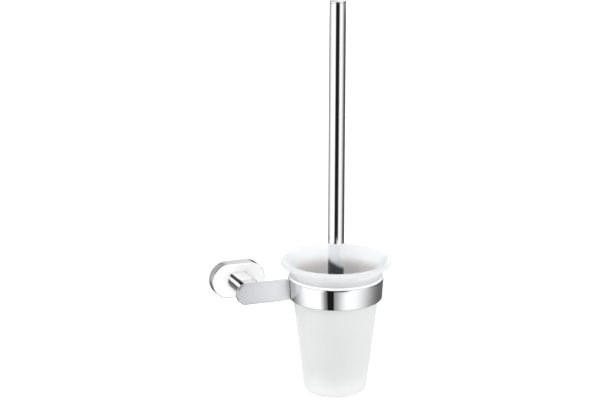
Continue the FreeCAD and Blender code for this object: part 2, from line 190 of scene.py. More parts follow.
def loft(loops):
    # rings of points joined in order, with a flat face over the first and the last
    mesh = bmesh.new()
    rings = [[mesh.verts.new(point) for point in loop] for loop in loops]
    for first, second in zip(rings, rings[1:]):
        bridge(mesh, first, second)
    mesh.faces.new(rings[0])
    mesh.faces.new(rings[-1])
    return mesh


def makePiece(name, mesh, *materials, sharpAngle=38):
    bmesh.ops.remove_doubles(mesh, verts=mesh.verts, dist=nearly)
    bmesh.ops.recalc_face_normals(mesh, faces=mesh.faces)
    data = bpy.data.meshes.new(name)
    mesh.to_mesh(data)
    mesh.free()
    data.shade_smooth()
    data.set_sharp_from_angle(angle=math.radians(sharpAngle))
    for material in materials:
        data.materials.append(material)
    piece = bpy.data.objects.new(name, data)
    scene.collection.objects.link(piece)
    return piece


def bakeModifiers(piece):
    # the evaluated result becomes the piece's own plain mesh
    result = piece.evaluated_get(bpy.context.evaluated_depsgraph_get())
    data = bpy.data.meshes.new_from_object(result)
    piece.modifiers.clear()
    piece.data = data


def combine(piece, tool, operation):
    solid = piece.modifiers.new("combine", "BOOLEAN")
    solid.operation = operation
    solid.solver = "EXACT"
    solid.object = tool
    bakeModifiers(piece)
    bpy.data.objects.remove(tool)


def bore(piece, radius, reach, place, turns=32):
    # a round hole that reaches equally far both ways from a place
    tool = lathe([(0, -reach), (radius, -reach), (radius, reach), (0, reach)], place, turns)
    combine(piece, makePiece("bore", tool, piece.data.materials[0]), "DIFFERENCE")


def settle(piece, body, slotName, *nodes):
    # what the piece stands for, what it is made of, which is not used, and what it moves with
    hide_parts(*nodes)
    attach(piece, body)


# Materials

displayGamma = 2.2


def layerTones(graph, place, ground, bands):
    # each band fades in up to its start, holds its tone, and fades out after its end; tones are written
    # as they look, so the last power turns them into light
    soft = {"interpolation_type": "SMOOTHSTEP"}
    tone = ground
    for band in bands.values():
        start, end = band["start"], band["end"]
        fadeIn = ramp(graph, place, start - band["fadeIn"], start, soft)
        fadeOut = ramp(graph, place, end + band["fadeOut"], end, soft)
        tone = tone + (band["tone"] - tone) * (fadeIn * fadeOut)
    return graph.maths("POWER", tone, displayGamma)


def newMaterial(name):
    material = bpy.data.materials.new(name)
    material.use_nodes = True
    graph = Graph(material.node_tree)
    return material, graph, graph.add("ShaderNodeTexCoord", None, None, "Object")


def noise(graph, where, scale, detail=3.0):
    return graph.add("ShaderNodeTexNoise", None, {"Vector": where, "Scale": scale, "Detail": detail})


def streaks(graph, where, scales):
    # noise drawn out along the axes that have the smaller scales
    return noise(graph, graph.add("ShaderNodeMapping", None, {"Vector": where, "Scale": scales}), 1.0)


def blendColour(graph, share, first, second):
    # a colour is (red, green, blue) or another node's result
    sockets = {0: share}
    for number, colour in ((6, first), (7, second)):
        sockets[number] = colour if isinstance(colour, Wire) else (*colour, 1)
    return graph.add("ShaderNodeMix", {"data_type": "RGBA"}, sockets, 2)


def finishMaterial(graph, sockets, relief=None):
    # relief is (height, strength, distance in metres)
    if relief:
        height, strength, distance = relief
        bump = {"Height": height, "Strength": strength, "Distance": distance}
        sockets["Normal"] = graph.add("ShaderNodeBump", None, bump)
    surface = graph.add("ShaderNodeBsdfPrincipled", None, sockets)
    graph.add("ShaderNodeOutputMaterial", None, {"Surface": surface})


def makePolishedChrome():
    # mirror plating: faintly cloudy, with wiping marks in the gloss
    material, graph, where = newMaterial("polished_chrome")
    cloud = noise(graph, where, 60.0)
    wiped = streaks(graph, where, (900, 900, 60))
    finishMaterial(graph, {
        "Base Color": blendColour(graph, cloud, (0.86, 0.865, 0.885), (0.93, 0.93, 0.94)),
        "Metallic": 1.0,
        "Roughness": 0.02 + cloud * 0.035 + wiped * 0.02,
    })
    return material


# painted shade low on the tube: the heights of its slanting edge, its slopes along and out, how much it
# wavers, and its dark tone
paintedTubeShade = {"low": 23.5 * mm, "high": 27.5 * mm, "slopeAlong": 0.55, "slopeOut": 0.23, "waviness": 1 * mm,
            "shadeTone": (0.14, 0.145, 0.15)}


def makeTubeChrome():
    # mirror plating with painted shade under a slanting edge, low down where the tube stands in the cup; the
    # shade stands in for a reflection of the cup's dark inside
    material, graph, where = newMaterial("tube_chrome")
    cloud = noise(graph, where, 60.0)
    x, y, z = splitAxes(graph, where)
    slant = z + (x - axisX) * paintedTubeShade["slopeAlong"] - (y - axisY) * paintedTubeShade["slopeOut"]
    slant = slant + cloud * paintedTubeShade["waviness"]
    # unshaded above the slanting edge, painted shade below it
    unshaded = ramp(graph, slant, paintedTubeShade["low"], paintedTubeShade["high"])
    plating = blendColour(graph, cloud, (0.86, 0.865, 0.885), (0.93, 0.93, 0.94))
    finishMaterial(graph, {
        "Base Color": blendColour(graph, unshaded, paintedTubeShade["shadeTone"], plating),
        "Metallic": 1.0,
        "Roughness": 0.03 + cloud * 0.035,
    })
    return material


# the post's painted reflections: its tone between the bands, how far the bands waver in mm, the bands of
# painted shade and painted highlight by height in mm, and a painted shade line at its top
postPaintedGround, postWaver = 0.35, 0.3
postPaintedBands = {
    "middleShade": {"start": -4.5, "end": 2, "fadeIn": 2.5, "fadeOut": 1, "tone": 0.12},
    "upperGleam": {"start": 3.5, "end": 5, "fadeIn": 2, "fadeOut": 1, "tone": 0.98},
    "upperShade": {"start": 6.3, "end": 7.5, "fadeIn": 0.7, "fadeOut": 0.5, "tone": 0.13},
    "topWhite": {"start": 8, "end": 10, "fadeIn": 0.5, "fadeOut": 0.1, "tone": 1.0}}
topShadeLine = {"across": 6.4 * mm, "width": 0.7 * mm, "height": 8.1 * mm, "tone": (0.2, 0.2, 0.21)}


def makePaintedReflectionChrome():
    # the post: plating painted in level bands of shade and highlight that stand in for reflections, with a
    # fine painted shade line at the back and right of its top
    material, graph, where = newMaterial("chrome_painted_reflections")
    cloud = noise(graph, where, 60.0)
    x, y, z = splitAxes(graph, where)
    beside = graph.maths("COMPARE", x, topShadeLine["across"], topShadeLine["width"] / 2)
    behind = graph.maths("COMPARE", y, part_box("rosette")[0].y, topShadeLine["width"])
    line = graph.maths("MAXIMUM", beside, behind) * graph.maths("GREATER_THAN", z, topShadeLine["height"])
    tone = layerTones(graph, z / mm + cloud * postWaver, postPaintedGround, postPaintedBands)
    finishMaterial(graph, {
        "Base Color": blendColour(graph, line, tone, topShadeLine["tone"]),
        "Metallic": 1.0,
        "Roughness": 0.03 + cloud * 0.03,
    })
    return material


# where along the arm its painted light is darkest and palest, and how far that wavers
satin = {"darkest": -19 * mm, "palest": 24 * mm, "waviness": 8 * mm}


def makeSatinChrome():
    # the arm's faces: fine level brushing, with painted light that makes them paler towards the ring
    material, graph, where = newMaterial("satin_chrome")
    brushed = streaks(graph, where, (60, 900, 2600))
    cloud = noise(graph, where, 45.0)
    along = splitAxes(graph, where)[0] + cloud * satin["waviness"]
    paler = ramp(graph, along, satin["darkest"], satin["palest"])
    finishMaterial(graph, {
        "Base Color": blendColour(graph, paler, (0.53, 0.535, 0.56), (0.73, 0.735, 0.765)),
        "Metallic": 0.4,
        "Roughness": 0.24 + brushed * 0.07 + cloud * 0.04,
    }, (brushed, 0.05, 0.00002))
    return material


def makeSoftChrome():
    # the rosette's face: a pale bead-blasted plating whose near-white tone is a painted reflection, with a
    # painted glow though it is no lamp
    material, graph, where = newMaterial("soft_chrome_painted_glow")
    beads = noise(graph, where, 1500.0, 2.0)
    finishMaterial(graph, {
        "Base Color": blendColour(graph, noise(graph, where, 70.0), (0.975, 0.975, 0.98), (0.99, 0.99, 0.99)),
        "Metallic": 0.1,
        "Roughness": 0.25 + beads * 0.1,
        "Emission Color": (1, 1, 1, 1),
        "Emission Strength": 0.12,
    })
    return material


# heights above the cup's underside where the painted glow in its floor is gone and full, the middle of the
# wall as it leans out, where the painted warm shade inside ends, and the heights in the frame where the mouth
# starts
glass = {"glowNone": 24 * mm, "glowFull": 10 * mm, "middleLow": 30 * mm, "middleLean": 0.108,
         "middleSoft": 0.5 * mm, "mouthLow": 17 * mm, "mouthHigh": 18.5 * mm}


def makeFrostedGlass():
    # acid-etched glass: a fine even grain, cloudier in patches, painted warm shade inside, and a painted glow
    # in the floor
    material, graph, where = newMaterial("frosted_glass")
    grain = noise(graph, where, 2600.0, 2.0)
    patches = noise(graph, where, 38.0)
    x, y, z = splitAxes(graph, where)
    up = z - cupLow.z
    radius = graph.maths("SQRT", (x - axisX) * (x - axisX) + (y - axisY) * (y - axisY))
    beyond = radius - up * glass["middleLean"] - glass["middleLow"]
    outside = ramp(graph, beyond, 0.0, glass["middleSoft"])
    mouth = ramp(graph, z, glass["mouthLow"], glass["mouthHigh"])
    # painted glow in the thick floor, full low down and gone higher up
    floor = ramp(graph, up, glass["glowNone"], glass["glowFull"])
    # the inner wall's warm tint is painted shade
    inner = blendColour(graph, patches, (0.94, 0.915, 0.895), (0.96, 0.935, 0.915))
    outer = blendColour(graph, patches, (0.94, 0.955, 0.965), (0.96, 0.975, 0.985))
    finishMaterial(graph, {
        "Base Color": blendColour(graph, graph.maths("MAXIMUM", outside, mouth), inner, outer),
        "Roughness": 0.42 + patches * 0.06 + grain * 0.05,
        "IOR": 1.48,
        "Specular IOR Level": 0.2,
        "Transmission Weight": 0.5,
        "Sheen Weight": 0.9,
        "Sheen Roughness": 0.35,
        "Emission Color": blendColour(graph, floor, (0.0, 0.0, 0.0), (0.95, 1.0, 1.0)),
        "Emission Strength": 0.03,
    }, (grain, 0.12, 0.00002))
    return material


def makeLinerPlastic():
    material, graph, where = newMaterial("white_liner")
    moulded = noise(graph, where, 700.0)
    patches = noise(graph, where, 50.0)
    finishMaterial(graph, {
        "Base Color": blendColour(graph, patches, (0.90, 0.90, 0.905), (0.93, 0.93, 0.935)),
        "Roughness": 0.28 + moulded * 0.12,
        "IOR": 1.49,
    }, (moulded, 0.08, 0.00003))
    return material


def makeCorePlastic():
    material, graph, where = newMaterial("moulded_core")
    moulded = noise(graph, where, 420.0)
    finishMaterial(graph, {
        "Base Color": blendColour(graph, moulded, (0.70, 0.71, 0.72), (0.80, 0.80, 0.80)),
        "Roughness": 0.38 + moulded * 0.15,
    }, (moulded, 0.15, 0.00004))
    return material


def makeNylon():
    # filaments that differ a little in tone, in a grey kept dark as painted shade so the brush shows through
    # the glass
    material, graph, where = newMaterial("nylon_filament")
    strands = noise(graph, where, 900.0, 1.0)
    finishMaterial(graph, {
        "Base Color": blendColour(graph, strands, (0.52, 0.52, 0.51), (0.74, 0.74, 0.73)),
        "Roughness": 0.32 + strands * 0.2,
    })
    return material


def makeCastZinc():
    material, graph, where = newMaterial("cast_zinc")
    pitted = noise(graph, where, 900.0, 4.0)
    patches = noise(graph, where, 90.0)
    finishMaterial(graph, {
        "Base Color": blendColour(graph, patches, (0.34, 0.35, 0.36), (0.50, 0.51, 0.52)),
        "Metallic": 0.85,
        "Roughness": 0.42 + pitted * 0.22,
    }, (pitted, 0.35, 0.00006))
    return material


def makePlatedSteel():
    material, graph, where = newMaterial("plated_steel")
    patches = noise(graph, where, 240.0)
    finishMaterial(graph, {
        "Base Color": blendColour(graph, patches, (0.56, 0.57, 0.58), (0.68, 0.68, 0.67)),
        "Metallic": 1.0,
        "Roughness": 0.22 + patches * 0.16,
    })
    return material


def makeTurnedBrass():
    material, graph, where = newMaterial("turned_brass")
    rings = streaks(graph, where, (40, 40, 4200))
    finishMaterial(graph, {
        "Base Color": blendColour(graph, rings, (0.66, 0.47, 0.20), (0.78, 0.60, 0.30)),
        "Metallic": 1.0,
        "Roughness": 0.2 + rings * 0.16,
    }, (rings, 0.2, 0.00003))
    return material


polishedChrome = makePolishedChrome()
paintedReflectionChrome = makePaintedReflectionChrome()
satinChrome = makeSatinChrome()
tubeChrome = makeTubeChrome()
softChrome = makeSoftChrome()
frostedGlass = makeFrostedGlass()
linerPlastic = makeLinerPlastic()
corePlastic = makeCorePlastic()
nylon = makeNylon()
castZinc = makeCastZinc()
platedSteel = makePlatedSteel()
turnedBrass = makeTurnedBrass()
print("materials ready")


# Rosette, bracket and post

def roundEnded(flatHalf, halfHeight, bulge, inset, y, steps=40):
    # two level runs joined by an arc at each end, drawn in by an inset, in the plane y
    radius = (halfHeight * halfHeight + bulge * bulge) / (2 * bulge)
    half = halfHeight - inset
    centre = flatHalf + bulge - radius
    arcRadius = radius - inset
    reach = math.asin(min(1.0, half / arcRadius))
    loop = []
    for side in (1, -1):
        for step in range(steps + 1):
            angle = side * (reach - 2 * reach * step / steps)
            across = side * (centre + arcRadius * math.cos(angle))
            loop.append((across, y, arcRadius * math.sin(angle)))
    return loop


rosette = {"wall": 2.5 * mm, "frontEdge": 0.6 * mm, "backEdge": 0.25 * mm, "insideEdge": 0.6 * mm,
           "edgeSteps": 6, "insideReach": 4 * mm, "faceReach": 3 * mm, "grubRadius": 2.05 * mm,
           "grubFromWall": 5.4 * mm, "holeReach": 4 * mm}


def makeRosette():
    low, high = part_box("rosette")
    halfHeight = (high.z - low.z) / 2
    flatHalf = (high.x - low.x) / 2 - halfHeight
    depth = high.y - low.y

    def endedLoop(inset, y):
        return roundEnded(flatHalf, halfHeight, halfHeight, inset, y)

    # from the hollow's ceiling down its wall, round the rim at the wall, up outside and onto the face
    wall, inside, back = rosette["wall"], rosette["insideEdge"], rosette["backEdge"]
    loops = [
        endedLoop(wall + rosette["insideReach"], wall - depth), endedLoop(wall + inside, wall - depth),
        endedLoop(wall, wall - depth + inside), endedLoop(wall, -back),
        endedLoop(wall - back, 0), endedLoop(back, 0), endedLoop(0, -back)]
    edge = rosette["frontEdge"]
    for step in range(rosette["edgeSteps"] + 1):
        angle = math.pi / 2 * step / rosette["edgeSteps"]
        loops.append(endedLoop(edge - edge * math.cos(angle), -depth + edge - edge * math.sin(angle)))
    loops.append(endedLoop(edge + rosette["faceReach"], -depth))
    piece = makePiece("rosette_cover", loft(loops), polishedChrome, softChrome)
    for face in piece.data.polygons:
        if face.normal.y < -facing:
            face.material_index = 1
    grubHole = Matrix.Translation((0, -rosette["grubFromWall"], low.z + wall / 2))
    bore(piece, rosette["grubRadius"], rosette["holeReach"], grubHole)
    settle(piece, "holder", "chrome", "rosette")


bracket = {"plate": 2.5 * mm, "rim": 2.5 * mm, "draft": 0.5 * mm, "edge": 0.4 * mm,
           "flatReach": 2 * mm, "wallHole": 2.5 * mm, "holeSpacing": 34 * mm, "grubHole": 2.3 * mm,
           "holeReach": 6 * mm}


def makeBracket():
    low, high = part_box("wall_bracket")
    halfHeight = (high.z - low.z) / 2
    flatHalf = (high.x - low.x) / 2 - halfHeight
    depth = high.y - low.y

    def endedLoop(inset, y):
        return roundEnded(flatHalf, halfHeight, halfHeight, inset, y, steps=24)

    edge, rim, reach = bracket["edge"], bracket["rim"], bracket["flatReach"]
    piece = makePiece("bracket_tray", loft([
        endedLoop(reach, 0), endedLoop(edge, 0), endedLoop(0, -edge), endedLoop(0, edge - depth),
        endedLoop(edge, -depth), endedLoop(rim - edge, -depth), endedLoop(rim, edge - depth),
        endedLoop(rim + bracket["draft"], -bracket["plate"]), endedLoop(rim + reach, -bracket["plate"]),
    ]), castZinc)
    spacing = bracket["holeSpacing"]
    holes = [(alongY(-spacing / 2, 0), bracket["wallHole"]), (alongY(spacing / 2, 0), bracket["wallHole"]),
             (Matrix.Translation((0, -rosette["grubFromWall"], low.z)), bracket["grubHole"])]
    for place, radius in holes:
        bore(piece, radius, bracket["holeReach"], place, turns=40)
    settle(piece, "holder", "cast_zinc", "wall_bracket")


post = {"flat": 13.6 * mm, "edge": 0.25 * mm}


def makePost():
    low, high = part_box("post")
    flatHalf = post["flat"] / 2
    halfHeight = (high.z - low.z) / 2
    bulge = (high.x - low.x) / 2 - flatHalf
    edge = post["edge"]

    loops = [roundEnded(flatHalf, halfHeight, bulge, inset, y) for inset, y in (
        (edge, low.y), (0, low.y + edge), (0, high.y - edge), (edge, high.y))]
    piece = makePiece("support_post", loft(loops), paintedReflectionChrome, sharpAngle=25)
    settle(piece, "holder", "chrome", "post")


# Ring and its liner, sizes in mm

ring = {"topRadius": 47.6, "lowRadius": 46.4, "wall": 1.8, "edge": 0.35, "lugHeight": 15,
        "lugThickness": 5, "lugReach": 62, "lugIntoBand": 1.6, "lugEdge": 0.6}


def ringRadius(height):
    # outside of the tapered band at a height in the frame, both in metres
    low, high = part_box("ring_band")
    middle = (ring["topRadius"] + ring["lowRadius"]) / 2 * mm
    return middle + (ring["topRadius"] - ring["lowRadius"]) * mm * height / (high.z - low.z)


def makeRing():
    low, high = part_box("ring_band")
    top, bottom = high.z / mm, low.z / mm
    outerTop, outerLow, edge, wall = ring["topRadius"], ring["lowRadius"], ring["edge"], ring["wall"]
    band = lathe(roundedOutline([
        (outerLow - wall, bottom, edge), (outerLow, bottom, edge),
        (outerTop, top, edge), (outerTop - wall, top, edge)]), turns=240)
    piece = makePiece("ring_band_solid", band, polishedChrome)
    # the lug behind the arm
    length = ring["lugReach"] - outerLow + ring["lugIntoBand"]
    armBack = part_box("support_arm")[1].y
    middle = (axisX + (length / 2 - ring["lugReach"]) * mm, armBack + ring["lugThickness"] / 2 * mm, 0)
    size = Matrix.Diagonal((length * mm, ring["lugThickness"] * mm, ring["lugHeight"] * mm, 1))
    lug = bmesh.new()
    bmesh.ops.create_cube(lug, size=1)
    bmesh.ops.transform(lug, matrix=Matrix.Translation(middle) @ size, verts=lug.verts)
    bmesh.ops.bevel(lug, geom=lug.edges, offset=ring["lugEdge"] * mm, segments=3, affect="EDGES", profile=0.5)
    combine(piece, makePiece("lug", lug, polishedChrome), "UNION")
    settle(piece, "holder", "chrome", "ring_band")


liner = {"innerLow": 43.0, "seat": 43.7, "seatHeight": 9.0, "mouth": 45.55, "rim": 47.2,
         "rimEdge": 1.0, "mouthEdge": 0.55, "footEdge": 0.2, "seatEdge": 0.3}


def makeLiner():
    low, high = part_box("ring_liner")
    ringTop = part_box("ring_band")[1].z / mm
    piece = makePiece("white_liner_sleeve", lathe(roundedOutline([
        (liner["innerLow"], low.z / mm, liner["footEdge"]),
        (ring["lowRadius"] - ring["wall"], low.z / mm, liner["footEdge"]),
        (ring["topRadius"] - ring["wall"], ringTop, 0),
        (liner["rim"], ringTop, liner["footEdge"]),
        (liner["rim"], high.z / mm, liner["rimEdge"]),
        (liner["mouth"], high.z / mm, liner["mouthEdge"]),
        (liner["seat"], liner["seatHeight"], liner["seatEdge"]),
    ]), turns=200), linerPlastic)
    settle(piece, "holder", "white_plastic", "ring_liner")


# Arm, from the ring to a rounded tip past the post

arm = {"tipStart": -11.2 * mm, "edge": 0.5 * mm, "backEdge": 0.2 * mm, "backReach": 3 * mm,
       "endGap": 0.4 * mm, "endSteps": 12, "tipSteps": 40, "edgeSteps": 4}


def makeArm():
    low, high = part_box("support_arm")
    halfHeight = (high.z - low.z) / 2
    bulge = arm["tipStart"] - low.x
    radius = (halfHeight * halfHeight + bulge * bulge) / (2 * bulge)
    centre = arm["tipStart"] - bulge + radius
    reach = math.asin(halfHeight / radius)

    def outline(inset, y):
        # up the ring end, back along the top, round the tip and along the bottom
        loop = []
        half = halfHeight - inset
        for step in range(arm["endSteps"] + 1):
            z = -half + 2 * half * step / arm["endSteps"]
            across = math.sqrt(ringRadius(z) ** 2 - (y - axisY) ** 2)
            loop.append((axisX - across - arm["endGap"], y, z))
        for step in range(arm["tipSteps"] + 1):
            angle = reach - 2 * reach * step / arm["tipSteps"]
            z = half * math.sin(angle) / math.sin(reach)
            loop.append((centre - (radius - inset) * math.cos(angle), y, z))
        return loop

    edge, back = arm["edge"], arm["backEdge"]
    loops = [outline(arm["backReach"], high.y), outline(back, high.y), outline(0, high.y - back)]
    for step in range(arm["edgeSteps"] + 1):
        angle = math.pi / 2 * step / arm["edgeSteps"]
        loops.append(outline(edge * (1 - math.cos(angle)), low.y + edge * (1 - math.sin(angle))))
    piece = makePiece("flat_arm", loft(loops), polishedChrome, satinChrome)
    for face in piece.data.polygons:
        if abs(face.normal.y) > facing:
            face.material_index = 1
    settle(piece, "holder", "chrome", "support_arm")


# Glass cup, sizes in mm

cup = {"bottomRadius": 31.1, "bottomCorner": 9.0, "floorThickness": 8.1, "floorRadius": 28.0,
       "floorCorner": 7.0, "ringLow": (42.6, -10.5), "seat": (43.3, 9.0), "neckLow": (45.1, 12.6),
       "neckHigh": (45.5, 18.6), "neckRound": 4.0, "lipThickness": 4.4, "lipRound": 2.1,
       "lipInner": 50.6, "throat": (41.2, 18.6), "throatRound": 6.5, "shaft": (39.4, 9.0), "shaftRound": 20.0,
       "bodyRound": 30.0, "seatRound": 1.0, "neckFoot": 1.5, "steps": 9}


def makeCup():
    # the shape from the middle of its underside, up outside, over the lip and down inside
    bottom, top = cupLow.z / mm, cupHigh.z / mm
    lip = (cupHigh.x - cupLow.x) / 2 / mm
    floor = bottom + cup["floorThickness"]
    outline = roundedOutline([
        (0, bottom, 0),
        (cup["bottomRadius"], bottom, cup["bottomCorner"]),
        (*cup["ringLow"], cup["bodyRound"]),
        (*cup["seat"], cup["seatRound"]),
        (*cup["neckLow"], cup["neckFoot"]),
        (*cup["neckHigh"], cup["neckRound"]),
        (lip, top - cup["lipThickness"], cup["lipRound"]),
        (lip, top, cup["lipRound"]),
        (cup["lipInner"], top, cup["lipRound"]),
        (*cup["throat"], cup["throatRound"]),
        (*cup["shaft"], cup["shaftRound"]),
        (cup["floorRadius"], floor, cup["floorCorner"]),
        (0, floor, 0),
    ], cup["steps"])
    piece = makePiece("frosted_cup", lathe(outline, turns=180), frostedGlass, sharpAngle=60)
    settle(piece, "cup", "frosted_glass", "glass_cup")


# Handle, sizes in mm

handle = {"wall": 1.0, "headGap": 0.03, "rimGap": 0.12, "innerEdge": 0.15, "outerEdge": 0.25,
          "dome": 0.5, "domeShare": 0.22, "domeRound": 8.0, "capEdge": 0.35, "capRim": 2.4, "plug": 10.0,
          "plugGap": 0.05, "plugEdge": 0.5, "insertBore": 4.05, "insertEdge": 0.3, "insertGap": 0.03}


def makeHandle():
    low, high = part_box("handle_tube")
    outer = (high.x - low.x) / 2 / mm
    inner = outer - handle["wall"]
    foot = low.z / mm + handle["headGap"]
    gap = handle["rimGap"]
    tube = lathe(roundedOutline([
        (inner, foot, handle["innerEdge"]), (outer, foot, handle["outerEdge"]),
        (outer, high.z / mm, gap), (inner, high.z / mm, gap)]), turns=128)
    settle(makePiece("handle_tube_chrome", tube, tubeChrome), "brush_handle", "chrome", "handle_tube")
    # a plug with a shallow dome over the tube's end
    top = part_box("handle_cap")[1].z / mm
    shoulder = top - handle["capRim"] + gap
    plug = inner - handle["plugGap"]
    cap = lathe(roundedOutline([
        (0, shoulder - handle["plug"], 0), (plug, shoulder - handle["plug"], handle["plugEdge"]),
        (plug, shoulder, 0), (outer, shoulder, gap),
        (outer, top - handle["dome"], handle["capEdge"]),
        (outer / 2, top - handle["dome"] * handle["domeShare"], handle["domeRound"]),
        (0, top, 0)]), turns=128)
    settle(makePiece("handle_cap_domed", cap, polishedChrome), "brush_handle", "chrome", "handle_cap")
    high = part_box("handle_insert")[1]
    edge, wide = handle["insertEdge"], inner - handle["insertGap"]
    insert = lathe(roundedOutline([
        (handle["insertBore"], foot, edge), (wide, foot, edge),
        (wide, high.z / mm, edge), (handle["insertBore"], high.z / mm, edge)]), turns=64)
    settle(makePiece("handle_insert_brass", insert, turnedBrass), "brush_handle", "brass", "handle_insert")


# Brush head, sizes in mm

head = {"bore": 4.05, "boreEdge": 0.2, "collarTop": 9.2, "collarStraight": 3.0, "edge": 0.6, "tipRound": 3.0}


def makeHead():
    low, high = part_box("head_collar")
    radius = (high.x - low.x) / 2 / mm
    collar = lathe(roundedOutline([
        (head["bore"], low.z / mm, head["boreEdge"]), (radius, low.z / mm, head["edge"]),
        (radius, low.z / mm + head["collarStraight"], head["edge"]),
        (head["collarTop"], high.z / mm, head["edge"]), (head["bore"], high.z / mm, head["boreEdge"])]),
        turns=96)
    settle(makePiece("head_collar_white", collar, linerPlastic), "brush_head", "white_plastic", "head_collar")
    low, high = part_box("brush_core")
    radius = (high.x - low.x) / 2 / mm
    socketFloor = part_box("head_stud")[0].z / mm
    body = lathe(roundedOutline([
        (0, low.z / mm, 0), (radius, low.z / mm, head["tipRound"]), (radius, high.z / mm, head["edge"]),
        (head["bore"], high.z / mm, head["boreEdge"]), (head["bore"], socketFloor, 0), (0, socketFloor, 0)]),
        turns=96)
    settle(makePiece("head_core", body, corePlastic), "brush_head", "white_plastic", "brush_core")


# Bristles, sizes in metres: one tree grows tufts of filaments in rows round an upright axis

def startTree(name, kinds):
    # a tree with an input of each kind and one for a material, its graph, and what comes in by name
    tree = bpy.data.node_groups.new(name, "GeometryNodeTree")
    kinds = {"Geometry": "Geometry", **kinds, "finish": "Material"}
    for word, kind in kinds.items():
        tree.interface.new_socket(word, in_out="INPUT", socket_type=f"NodeSocket{kind}")
    tree.interface.new_socket("Geometry", in_out="OUTPUT", socket_type="NodeSocketGeometry")
    graph = Graph(tree)
    given = graph.add("NodeGroupInput")
    return tree, graph, {word: given.output(word) for word in kinds}


def finishTree(graph, geometry, finish):
    solid = graph.add("GeometryNodeRealizeInstances", None, {"Geometry": geometry})
    painted = graph.add("GeometryNodeSetMaterial", None, {"Geometry": solid, "Material": finish})
    graph.add("NodeGroupOutput", None, {"Geometry": painted})


def makeTuftTree():
    kinds = {name: "Int" for name in ("rows", "tuftsPerRow", "filaments", "seed")}
    kinds.update({name: "Float" for name in (
        "startRadius", "radiusStep", "startHeight", "heightStep", "startTilt", "tiltStep",
        "filamentLength", "filamentRadius", "tuftRadius", "splay", "unevenness")})
    tree, graph, size = startTree("tuft_rows", {**kinds, "axis": "Vector"})
    total = size["rows"] * size["tuftsPerRow"] * size["filaments"]
    line = graph.add("GeometryNodeMeshLine", None, {"Count": total, "Offset": (0, 0, 0)})
    index = graph.add("GeometryNodeInputIndex")
    # the added halves keep whole numbers clear of rounding
    tuft = graph.maths("FLOOR", (index + 0.5) / size["filaments"])
    row = graph.maths("FLOOR", (tuft + 0.5) / size["tuftsPerRow"])
    place = tuft - row * size["tuftsPerRow"]
    angle = (place + row * 0.5) / size["tuftsPerRow"] * math.tau
    # three draws for each filament: the way round its tuft, how far from the middle, and how short
    draws = [graph.add("FunctionNodeRandomValue", {"data_type": "FLOAT"}, {
        2: 0.0, 3: 1.0, 7: index, 8: size["seed"] + number * 11}, 1) for number in range(3)]
    spin = draws[0] * math.tau
    spread = graph.maths("SQRT", draws[1])
    sideways = graph.maths("COSINE", spin) * spread
    upwards = graph.maths("SINE", spin) * spread
    tilt = size["startTilt"] + row * size["tiltStep"]
    tiltSine = graph.maths("SINE", tilt)
    tiltCosine = graph.maths("COSINE", tilt)
    sine = graph.maths("SINE", angle)
    cosine = graph.maths("COSINE", angle)
    # local frame of a tuft: outwards along its tilt, sideways round the core, and across both
    outward = joinAxes(graph, tiltCosine * cosine, tiltCosine * sine, tiltSine)
    aside = joinAxes(graph, 0.0 - sine, cosine, 0.0)
    across = graph.add("ShaderNodeVectorMath", {"operation": "CROSS_PRODUCT"}, {0: outward, 1: aside})
    disc = summed(graph, scaled(graph, aside, sideways), scaled(graph, across, upwards))
    radius = size["startRadius"] + row * size["radiusStep"]
    root = joinAxes(graph, radius * cosine, radius * sine, size["startHeight"] + row * size["heightStep"])
    root = summed(graph, summed(graph, root, size["axis"]), scaled(graph, disc, size["tuftRadius"]))
    points = graph.add("GeometryNodeSetPosition", None, {"Geometry": line, "Position": root})
    heading = summed(graph, outward, scaled(graph, disc, size["splay"]))
    turned = graph.add("FunctionNodeAlignRotationToVector", {"axis": "Z"}, {"Vector": heading})
    length = size["filamentLength"] * (1.0 - size["unevenness"] * draws[2])
    scale = joinAxes(graph, 1.0, 1.0, length)
    strand = graph.add("GeometryNodeMeshCylinder", None, {
        "Vertices": 4, "Side Segments": 3, "Radius": size["filamentRadius"], "Depth": 1.0})
    strand = graph.add("GeometryNodeTransform", None, {"Geometry": strand, "Translation": (0, 0, 0.5)})
    instances = graph.add("GeometryNodeInstanceOnPoints", None, {
        "Points": points, "Instance": strand, "Rotation": turned, "Scale": scale})
    finishTree(graph, instances, size["finish"])
    return tree


def growFromTree(name, tree, inputs):
    # a piece whose mesh is a tree's result; inputs go in by their sockets' identifiers
    piece = bpy.data.objects.new(name, bpy.data.meshes.new(name))
    scene.collection.objects.link(piece)
    grower = piece.modifiers.new("grow", "NODES")
    grower.node_group = tree
    for item in tree.interface.items_tree:
        if item.item_type == "SOCKET" and item.in_out == "INPUT" and item.name in inputs:
            grower[item.identifier] = inputs[item.name]
    bakeModifiers(piece)
    piece.data.name = name
    return piece


rowTufts = {"rows": 8, "tuftsPerRow": 14, "filaments": 20, "seed": 4,
            "startRadius": 9.2 * mm, "radiusStep": 0.0, "startHeight": -83 * mm, "heightStep": 7.2 * mm,
            "startTilt": math.radians(-14), "tiltStep": math.radians(2.2), "filamentLength": 15.6 * mm,
            "filamentRadius": 0.2 * mm, "tuftRadius": 1.3 * mm, "splay": 0.16, "unevenness": 0.06}
tipTufts = {**rowTufts, "rows": 3, "tuftsPerRow": 7, "filaments": 26, "seed": 9,
            "startRadius": 2.2 * mm, "radiusStep": 3.0 * mm, "startHeight": -87.4 * mm,
            "heightStep": 0.9 * mm, "startTilt": math.radians(-84), "tiltStep": math.radians(22),
            "filamentLength": 13.6 * mm, "splay": 0.13}


def makeBristles():
    tree = makeTuftTree()
    shared = {"axis": (axisX, axisY, 0), "finish": nylon}
    rowNodes = [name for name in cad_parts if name.startswith("bristle_row")]
    rows = growFromTree("bristle_rows", tree, {**rowTufts, **shared})
    settle(rows, "brush_head", "bristle", *rowNodes)
    tip = growFromTree("bristle_end", tree, {**tipTufts, **shared})
    settle(tip, "brush_head", "bristle", "bristle_tip")


# Threads, sizes in metres, and fasteners, sizes in mm

ringsPerTurn = 5.0      # of vertices, along one turn of a thread


